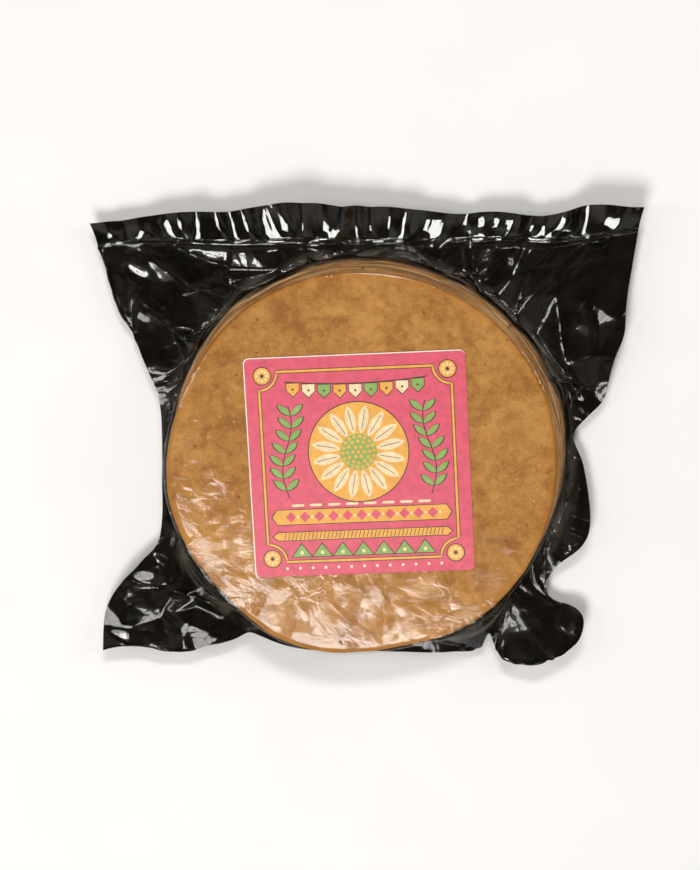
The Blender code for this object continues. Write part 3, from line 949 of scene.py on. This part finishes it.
def clear_film_material():
    """Thin clear film: a sharp sheen where it is free, a patchy one where it clings to the dough."""
    shader = Shader("clear_film")
    clings = shader.ease(past_rim(shader), 0.0, -4.0)
    crease = shader.bump(shader.math("MAXIMUM", face_crease(shader), rim_fold(shader)), CREASE_HEIGHT)
    drapes = shader.noise(4.4, 2.0, 0.5, 0.5, space="2D")
    pores = shader.noise(1.2, 2.0, 0.6, 0.3, space="2D")
    clinging = shader.bump(pores, PORE_HEIGHT, 1.0, shader.bump(drapes, DRAPE_HEIGHT, 1.0, crease))
    free = film_bump(shader)
    normal = shader.node("Mix", {"Factor": clings, 4: free, 5: clinging}, data_type="VECTOR").outputs[1]
    rough = shader.plus(shader.times(clings, shader.ramp(drapes, (0.35, 0.0), (0.7, 0.04))), FILM_ROUGHNESS)
    outer = free_gloss(shader)
    gloss = shader.plus(outer, shader.times(clings, shader.less(clinging_gloss(shader), outer)))
    sheen = shader.node("BsdfGlossy", {"Color": SHEEN_TINT, "Roughness": rough, "Normal": normal})
    through = shader.node("BsdfTransparent", {"Color": FILM_TINT})
    facing = shader.node("LayerWeight", {"Blend": 0.5, "Normal": normal}).outputs["Facing"]
    mirror = shader.plus(shader.times(shader.math("POWER", facing, 5.0), GRAZING_MIRROR), FILM_MIRROR)
    edge = shader.times(mirror, gloss)
    film = shader.node("MixShader", {"Fac": edge, 1: through.outputs["BSDF"], 2: sheen.outputs["BSDF"]})
    haze = shader.node("BsdfDiffuse", {"Color": HAZE_TINT}).outputs["BSDF"]
    surface = shader.node("MixShader", {"Fac": side_haze(shader), 1: film.outputs["Shader"], 2: haze})
    return shader.finish(surface.outputs["Shader"])


def side_layer_light_and_shade(shader, base):
    """The stack's side in flat layers: painted shade in the seams between the tortillas and painted light
    on their edges.
    """
    layers = shader.noise(1.0, 2.0, 0.5, place=shader.place(28.0, 1.3))
    side = shader.ease(past_rim(shader), -1.0, 0.6)
    # Painted shade: dark seams where shade falls between the tortillas
    base = shader.mix(shader.times(side, shader.ramp(layers, (0.40, 0.85), (0.47, 0.0))), base, PAINTED_SEAM_SHADE)
    # Painted light: pale stripes where the layers' rounded edges catch the light
    return shader.mix(shader.times(side, shader.ramp(layers, (0.53, 0.0), (0.62, 0.7))), base, PAINTED_EDGE_LIGHT)


def bran_flecks(shader, base, grain):
    """Dark flecks of bran, each with a browned halo."""
    flecks = shader.cells(shader.place(FLECK_SPACING))
    chosen = shader.node("SeparateColor", {"Color": flecks["Color"]}).outputs["Red"]
    size = shader.times(shader.less(chosen, FLECKLESS_SHARE), 0.30)
    reach = shader.plus(flecks["Distance"], shader.times(grain, 0.06))
    mark = shader.math("LESS_THAN", reach, size)
    halo = shader.math("LESS_THAN", reach, shader.times(size, 1.7))
    base = shader.mix(shader.times(halo, 0.25), base, HALO_BROWN)
    return shader.mix(shader.times(mark, 0.75), base, FLECK_BROWN)


def tortilla_material():
    """Baked corn dough: tan with browned mottles, a darker rim and dark flecks of bran."""
    shader = Shader("tortilla")
    broad = shader.noise(14.0, 2.0, 0.6, 0.4)
    mottle = shader.noise(3.4, 4.0, 0.70, 0.4)
    grain = shader.noise(0.8, 3.0, 0.7)
    patches = shader.plus(shader.times(broad, 0.45), shader.times(mottle, 0.55))
    base = shader.ramp(patches, (0.38, BROWNED_DOUGH), (0.50, DOUGH), (0.62, PALE_DOUGH))
    base = shader.mix(shader.ramp(grain, (0.30, 0.30), (0.47, 0.0)), base, DARK_GRAIN)
    base = shader.mix(shader.ramp(grain, (0.55, 0.0), (0.75, 0.35)), base, PALE_GRAIN)
    rim = shader.plus(past_rim(shader), shader.times(shader.noise(5.0, 2.0), 2.4))
    band = shader.ramp(shader.ease(rim, -4.0, 4.0), (0.20, 0.0), (0.42, 0.50), (0.60, 0.10))
    base = side_layer_light_and_shade(shader, shader.mix(band, base, RIM_BROWN))
    base = bran_flecks(shader, base, grain)
    height = shader.plus(mottle, shader.times(grain, 0.3))
    return shader.dielectric(base, 0.62, 1.42, shader.bump(height, 0.25, 0.5))


def paper_material(name, colour, variation=0.12):
    """Coated label paper in one printed colour, with faint fibre and uneven ink."""
    shader = Shader(name)
    darker = tuple(channel * (1 - variation) for channel in colour)
    lighter = tuple(channel * (1 + variation) for channel in colour)
    ink = shader.ramp(shader.noise(3.5, 4.0, 0.7, space="2D"), (0.3, darker), (0.7, lighter))
    fibre = shader.noise(0.35, 2.0, 0.6, space="2D")
    waves = shader.noise(11.0, 1.0, 0.5, space="2D")
    return shader.dielectric(ink, 0.42, 1.45, shader.bump(waves, 0.30, 0.5, shader.bump(fibre, 0.02, 0.5)))


def floor_material():
    shader = Shader("pale_floor")
    tone = shader.ramp(shader.noise(60.0, 2.0), (0.3, (0.81, 0.83, 0.86)), (0.7, (0.83, 0.85, 0.88)))
    surface = shader.node("BsdfPrincipled", {"Base Color": tone, "Roughness": 0.75})
    return shader.finish(surface.outputs["BSDF"])


# ---------------------------------------------------------------- the pieces
def settle_piece(thing, slot, *nodes):
    """Rides the piece on the pack and hides the CAD nodes that it stands for; its slot is not used."""
    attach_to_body(thing, "root")
    if nodes:
        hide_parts(*nodes)


def make_films():
    """Both films: the settled front one with its welds and relief, and the back one under it."""
    film, flat = settled_film()
    film = film + normals_of(film) * weld_and_flutes(flat)[..., None]
    film[..., 2] += relief(film[..., 0], film[..., 1]) * (film[..., 2] > STACK_TOP - 1.0)
    free = beside_label(film[..., 0], film[..., 1])
    film[..., 2] = free * film[..., 2] + (1 - free) * (STACK_TOP + FILM_GAP)
    back = back_film_under(film, flat)
    faces = grid_faces(*film.shape[:2])
    front_piece = make_object("clear_front_film", film, faces, clear_film_material(), flat=flat)
    back_piece = make_object("black_back_film", back, faces, black_film_material(), flat=flat)
    settle_piece(front_piece, "clear_film", "filled_pouch")
    settle_piece(back_piece, "black_film", "back_film")


def ragged_edge(generator, bearing):
    """How far an uneven edge reaches out, for each bearing; never past zero."""
    ragged = np.zeros(len(bearing))
    for turns in RAGGED_TURNS:
        size, start = generator.uniform(0.3, 1.0), generator.uniform(0, 6.3)
        ragged += size / turns ** 0.45 * np.sin(turns * bearing + start)
    return EDGE_RAGGED * (ragged - ragged.max())


def make_tortilla(index, material, generator):
    """One tortilla: an uneven disc with a rounded edge, the top one with the face's relief."""
    thickness = (STACK_TOP - STACK_BASE) / TORTILLA_COUNT
    low = STACK_BASE + index * thickness
    top = index == TORTILLA_COUNT - 1
    high = low + thickness * (1.0 if top else 0.97)
    bearing = np.linspace(0, 2 * np.pi, SECTORS, endpoint=False)
    radius = stack_radius(bearing, low + 0.5 * thickness) - FILM_ROOM
    radius = radius + ragged_edge(generator, bearing) - (0.0 if top else generator.uniform(0, EDGE_STEP))
    round_off = rim_round(bearing) - 0.3
    over = np.maximum(high - 0.3 * thickness - (STACK_TOP - round_off), 0)
    if not top:
        radius = radius - (round_off - np.sqrt(np.maximum(round_off ** 2 - over ** 2, 0.1)))
    rings = []
    for shift, share in TOP_PROFILE if top else PROFILE:
        reach = radius + shift * (round_off / RIM_ROUND if top else 1.0)
        rings.append(np.stack([reach * np.cos(bearing), reach * np.sin(bearing),
                               np.full(SECTORS, low + (high - low) * share)], axis=-1))
    if top:
        for reach_share in np.linspace(0.985, 0.02, FACE_RINGS):
            reach = (radius - round_off) * reach_share
            x, y = reach * np.cos(bearing), reach * np.sin(bearing)
            rings.append(np.stack([x, y, high + relief(x, y)], axis=-1))
    faces = ring_faces(len(rings), SECTORS)
    tortilla = make_object(f"tortilla_{index + 1:02d}", np.array(rings), faces, material)
    settle_piece(tortilla, "tortilla", "filled_pouch")


def make_tortillas():
    generator = np.random.default_rng(SEED)
    material = tortilla_material()
    for index in range(TORTILLA_COUNT):
        make_tortilla(index, material, generator)


# ---------------------------------------------------------------- the label
LABEL_CORNER = 2.3
LABEL_HEIGHT = STACK_TOP + 0.32
LABEL_STRETCH = np.array((1.0, 1.013))
LABEL_RISE = np.array((0.0, 0.55))
PAPER_THICKNESS = 0.12
INK_STEP = 0.02
WHITE_MARGIN = 0.4
PINK = (0.620, 0.078, 0.135)
YELLOW = (0.730, 0.365, 0.055)
GREEN = (0.215, 0.370, 0.085)
CREAM = (0.760, 0.620, 0.380)
OUTLINE = (0.060, 0.022, 0.018)
WHITE = (0.780, 0.760, 0.720)
PLAIN_VARIATION = 0.04
# The printed design, in the label's own plane
FRAME_REACH, FRAME_BITE = 37.0, 7.0
ROSETTE_PLACE, ROSETTE_RADIUS = 35.6, 3.2
CORNERS = ((1, 1), (-1, 1), (-1, -1), (1, -1))
BUNTING_Y, BUNTING_SAG, BUNTING_REACH = 32.4, 1.4, 26.0
FLOWER_Y, FLOWER_RADIUS, PETALS = 5.0, 19.2, 16
HUB_RADIUS = 7.0
SEED_RINGS = ((0.0, 1), (2.1, 6), (4.2, 12), (6.0, 18))
BANNERS = ((-19.5, 5.6), (-27.0, 3.0))
TRIANGLE_Y, DASH_Y, DOT_Y = -35.1, -15.0, -39.6


def turning(angle):
    """What rows of (x, y) are multiplied by to turn them."""
    return np.array(((math.cos(angle), math.sin(angle)), (-math.sin(angle), math.cos(angle))))


def label_place(points):
    """Where points of the label's own plane lie. The label is a little taller than wide."""
    return (np.asarray(points, float) * LABEL_STRETCH) @ turning(LABEL_TURN) + LABEL_OFFSET + LABEL_RISE


def off(x, y, radius, angle):
    """The point at a distance and an angle from (x, y)."""
    return x + radius * math.cos(angle), y + radius * math.sin(angle)


class Print:
    """One ink: shapes gathered in the label's own plane, then made into one thin piece."""

    def __init__(self, name, colour, layer):
        self.name, self.colour, self.layer = name, colour, layer
        self.points, self.faces = [], []

    def add(self, points, faces):
        start = len(self.points)
        self.points += [tuple(point) for point in points]
        self.faces += [tuple(start + corner for corner in face) for face in faces]

    def polygon(self, *points):
        self.add(points, [range(len(points))])

    def disc(self, x, y, radius, steps=32):
        self.polygon(*(off(x, y, radius, 2 * math.pi * k / steps) for k in range(steps)))

    def stroke(self, points, width, closed=False):
        """A line of even width through the points."""
        points = np.array(points, float)
        if closed:
            tangent = np.roll(points, -1, axis=0) - np.roll(points, 1, axis=0)
        else:
            tangent = np.gradient(points, axis=0)
        side = np.stack([-tangent[:, 1], tangent[:, 0]], axis=-1)
        side *= width / 2 / np.maximum(np.linalg.norm(side, axis=-1, keepdims=True), 1e-9)
        count = len(points)
        ends = count if closed else count - 1
        faces = [(k, (k + 1) % count, count + (k + 1) % count, count + k) for k in range(ends)]
        self.add(np.vstack([points - side, points + side]), faces)

    def leaf(self, x, y, length, width, angle, steps=9):
        """A pointed leaf from its stalk at (x, y)."""
        share = np.linspace(0, 1, steps)
        half = width / 2 * np.sin(np.pi * share) ** 0.8
        ring = np.vstack([np.stack([share * length, half], axis=-1),
                          np.stack([share * length, -half], axis=-1)[-2:0:-1]])
        self.polygon(*((ring @ turning(angle) + (x, y))[::-1]))

    def banner(self, x, y, half_width, half_height, tip):
        """A long field with pointed ends."""
        low, high = y - half_height, y + half_height
        self.polygon((x - half_width, low), (x + half_width, low), (x + tip, y),
                     (x + half_width, high), (x - half_width, high), (x - tip, y))

    def pennant(self, x, half_width, high, low, tip):
        """A small flag that ends in a point."""
        left, right = x - half_width, x + half_width
        self.polygon((left, high), (left, low), (x, tip), (right, low), (right, high))

    def make(self):
        place = label_place(self.points)
        height = np.full(len(place), LABEL_HEIGHT + PAPER_THICKNESS + INK_STEP * self.layer)
        material = paper_material(self.name, self.colour)
        piece = make_object(self.name, np.column_stack([place, height]), self.faces, material, smooth=False)
        settle_piece(piece, "label_paper")


def rounded_square(side, corner, steps=6):
    points = []
    middle = side / 2 - corner
    for quarter in range(4):
        x, y = middle * (1 if quarter in (0, 3) else -1), middle * (1 if quarter < 2 else -1)
        for step in range(steps + 1):
            points.append(off(x, y, corner, math.pi / 2 * quarter + math.pi / 2 * step / steps))
    return points


def ticket_frame(half_side, bite):
    """A square whose corners are bitten away by quarter circles."""
    points = []
    for (x, y), start in zip(CORNERS, (270, 0, 90, 180)):
        for angle in np.radians(np.linspace(start, start - 90, 10)):
            points.append(off(x * half_side, y * half_side, bite, angle))
    return points


def draw_ground(inks):
    """The pink ground, and a line round it with a rosette in each corner."""
    ground = np.array(rounded_square(LABEL_SIDE - WHITE_MARGIN, LABEL_CORNER - 0.3))
    inks["pink"].polygon(*(ground + (WHITE_MARGIN / 2, -WHITE_MARGIN / 2)))
    frame_line = ticket_frame(FRAME_REACH, FRAME_BITE)
    inks["dark"].stroke(frame_line, 1.5, closed=True)
    inks["yellow"].stroke(frame_line, 0.9, closed=True)
    for x, y in CORNERS:
        x, y = ROSETTE_PLACE * x, ROSETTE_PLACE * y
        inks["dark"].disc(x, y, ROSETTE_RADIUS + 0.4)
        inks["yellow"].disc(x, y, ROSETTE_RADIUS)
        for k in range(8):
            inks["cream"].disc(*off(x, y, 1.9, math.pi / 4 * k), 0.55, 10)
        inks["fine"].disc(x, y, 0.7, 12)


def draw_bunting(inks):
    """A row of small flags on a sagging line."""
    def sag(x):
        return BUNTING_SAG * (1 - (x / BUNTING_REACH) ** 2)

    for k in range(9):
        x = -24.0 + 6.0 * k
        y = BUNTING_Y - sag(x)
        inks["dark"].pennant(x, 2.7, y + 0.4, y - 2.6, y - 5.4)
        inks[("yellow", "cream", "green")[k % 3]].pennant(x, 2.4, y + 0.1, y - 2.5, y - 4.9)
        inks["fine"].disc(x, y - 2.2, 0.55, 4)
    inks["fine"].stroke([(x, BUNTING_Y + 0.5 - sag(x)) for x in np.linspace(-27.5, 27.5, 24)], 0.35)


def draw_flower(inks):
    """A round flower with long petals and a hub of seeds."""
    inks["dark"].disc(0, FLOWER_Y, FLOWER_RADIUS + 0.4, 64)
    inks["yellow"].disc(0, FLOWER_Y, FLOWER_RADIUS, 64)
    for k in range(PETALS):
        angle = 2 * math.pi * (k + 0.5) / PETALS
        inks["cream"].leaf(*off(0, FLOWER_Y, HUB_RADIUS, angle), 11.4, 4.1, angle)
        inks["fine"].stroke([off(0, FLOWER_Y, radius, angle) for radius in (8.5, 16.5)], 0.22)
    inks["hub"].disc(0, FLOWER_Y, HUB_RADIUS, 40)
    for ring, count in SEED_RINGS:
        for k in range(count):
            inks["seeds"].disc(*off(0, FLOWER_Y, ring, 2 * math.pi * k / count + ring), 0.72, 10)


def draw_sprigs(inks):
    """An upright stalk with leaves at either side of the flower."""
    for side in (-1, 1):
        def stalk(y):
            return side * (27.5 + 2.2 * math.sin(0.16 * (y + 12)))

        inks["fine"].stroke([(stalk(y), y) for y in np.linspace(-12, 24, 20)], 0.4)
        for y in np.linspace(-9.0, 20.0, 7):
            for lean in (-1, 1):
                angle = math.pi / 2 - lean * side * 0.85
                inks["dark"].leaf(stalk(y), y - 0.2, 6.9, 2.9, angle)
                inks["green"].leaf(stalk(y), y, 6.3, 2.3, angle)


def draw_banners(inks):
    """Two pointed bands with lozenges and hatching."""
    for y, height in BANNERS:
        inks["dark"].banner(0, y, 33.0, height / 2 + 0.3, 35.2)
        inks["yellow"].banner(0, y, 32.8, height / 2, 34.7)
    y = BANNERS[0][0]
    for k in range(11):
        x = -27.5 + 5.5 * k
        inks["band"].polygon((x - 2.0, y), (x, y - 2.1), (x + 2.0, y), (x, y + 2.1))
        inks["cream"].disc(x + 2.75, y, 0.55, 10)
    y = BANNERS[1][0]
    for x in np.linspace(-30.5, 30.5, 41):
        inks["fine"].stroke([(x, y - 1.3), (x + 0.8, y + 1.3)], 0.25)


def draw_borders(inks):
    """Rows of triangles, dashes and dots."""
    for k in range(7):
        x, y = -24.0 + 8.0 * k, TRIANGLE_Y
        inks["dark"].polygon((x - 4.3, y - 0.3), (x + 4.3, y - 0.3), (x, y + 5.5))
        inks["green"].polygon((x - 3.7, y), (x + 3.7, y), (x, y + 4.9))
        inks["cream"].disc(x, y + 1.5, 0.75, 12)
    for k in range(8):
        inks["cream"].banner(-24.5 + 7.0 * k, DASH_Y, 2.0, 0.5, 2.6)
    for k in range(13):
        inks["cream"].disc(-30.0 + 5.0 * k, DOT_Y, 0.6, 10)


def make_prints():
    """The printed design: a flower in a ticket frame, with leaves, bunting and bands."""
    inks = {"pink": Print("label_pink_ground", PINK, 1), "dark": Print("label_dark_ink", OUTLINE, 2),
            "yellow": Print("label_yellow_ink", YELLOW, 3), "green": Print("label_green_ink", GREEN, 3),
            "cream": Print("label_cream_ink", CREAM, 4), "fine": Print("label_fine_lines", OUTLINE, 5),
            "hub": Print("label_hub_ink", GREEN, 6), "seeds": Print("label_seed_ink", YELLOW, 7),
            "band": Print("label_band_ink", PINK, 6)}
    for draw in (draw_ground, draw_bunting, draw_flower, draw_sprigs, draw_banners, draw_borders):
        draw(inks)
    for ink in inks.values():
        ink.make()


def make_paper():
    outline = np.array(rounded_square(LABEL_SIDE, LABEL_CORNER))
    place = label_place(outline)
    rings = np.array([np.column_stack([place, np.full(len(place), height)])
                      for height in (LABEL_HEIGHT, LABEL_HEIGHT + PAPER_THICKNESS)])
    paper = make_object("label_paper", rings, ring_faces(2, len(outline)),
                        paper_material("label_paper_white", WHITE, PLAIN_VARIATION), smooth=False)
    settle_piece(paper, "label_paper", "label")


# ---------------------------------------------------------------- floor, light and camera
CAMERA_TARGET = np.array((-4.2, 11.4, 21.5))
CAMERA_DISTANCE = 1.0
CAMERA_TILT = (math.radians(3.5), math.radians(11.0))
CAMERA_FIELD = 0.26923
SENSOR = 36.0
# Name, place and size in metres, and power
LIGHTS = (("key_softbox", (-0.17, -0.52, 1.00), (0.43, 0.43), 8.6),
          ("overhead_softbox", (0.05, 0.85, 1.05), (0.44, 0.17), 8.0),
          ("left_strip", (-0.95, 0.15, 0.70), (0.10, 0.80), 2.6),
          ("right_strip", (0.95, 0.35, 0.60), (0.12, 0.60), 2.4))
LIGHT_COLOUR = (1.0, 0.955, 0.90)
ROOM_TONES = ((0.45, (0.012, 0.010, 0.008, 1.0)), (0.66, (0.46, 0.42, 0.38, 1.0)))


def make_floor():
    bpy.ops.mesh.primitive_plane_add(size=4.0)
    floor = bpy.context.object
    floor.name = "floor"
    floor.data.materials.append(floor_material())


def look_at(thing, place, target):
    thing.location = place
    thing.rotation_euler = (Vector(target) - Vector(place)).to_track_quat("-Z", "Y").to_euler()


def soft_light(name, place, size, power):
    light = bpy.data.lights.new(name, "AREA")
    light.shape = "RECTANGLE"
    light.size, light.size_y = size
    light.energy = power
    light.color = LIGHT_COLOUR
    lamp = bpy.data.objects.new(name, light)
    bpy.context.scene.collection.objects.link(lamp)
    look_at(lamp, place, (0.0, 0.0, 0.01))


def make_room():
    """Soft light from all round: the pale and dark parts of a room."""
    world = bpy.data.worlds.new("studio")
    bpy.context.scene.world = world
    world.use_nodes = True
    nodes, links_of = world.node_tree.nodes, world.node_tree.links
    room = nodes.new("ShaderNodeTexNoise")
    room.inputs["Scale"].default_value = 1.7
    room.inputs["Detail"].default_value = 1.0
    tones = nodes.new("ShaderNodeValToRGB")
    for element, (position, tone) in zip(tones.color_ramp.elements, ROOM_TONES):
        element.position = position
        element.color = tone
    links_of.new(nodes.new("ShaderNodeTexCoord").outputs["Generated"], room.inputs["Vector"])
    links_of.new(room.outputs["Fac"], tones.inputs["Fac"])
    links_of.new(tones.outputs["Color"], nodes["Background"].inputs["Color"])


def make_camera():
    data = bpy.data.cameras.new("camera")
    data.sensor_fit = "HORIZONTAL"
    data.sensor_width = SENSOR
    data.lens = SENSOR / CAMERA_FIELD
    camera = bpy.data.objects.new("camera", data)
    bpy.context.scene.collection.objects.link(camera)
    back = Vector((math.tan(CAMERA_TILT[0]), math.tan(CAMERA_TILT[1]), 1.0)).normalized()
    target = Vector((*(STACK_CENTRE + CAMERA_TARGET[:2]), CAMERA_TARGET[2])) * MM
    side = Vector((0, 1, 0)).cross(back).normalized()
    up = back.cross(side)
    camera.matrix_world = Matrix.Translation(target + back * CAMERA_DISTANCE) @ Matrix(
        (side, up, back)).transposed().to_4x4()
    bpy.context.scene.camera = camera


make_films()
make_tortillas()
make_paper()
make_prints()
make_floor()
for light in LIGHTS:
    soft_light(*light)
make_room()
make_camera()
bpy.context.scene.view_settings.view_transform = "Standard"
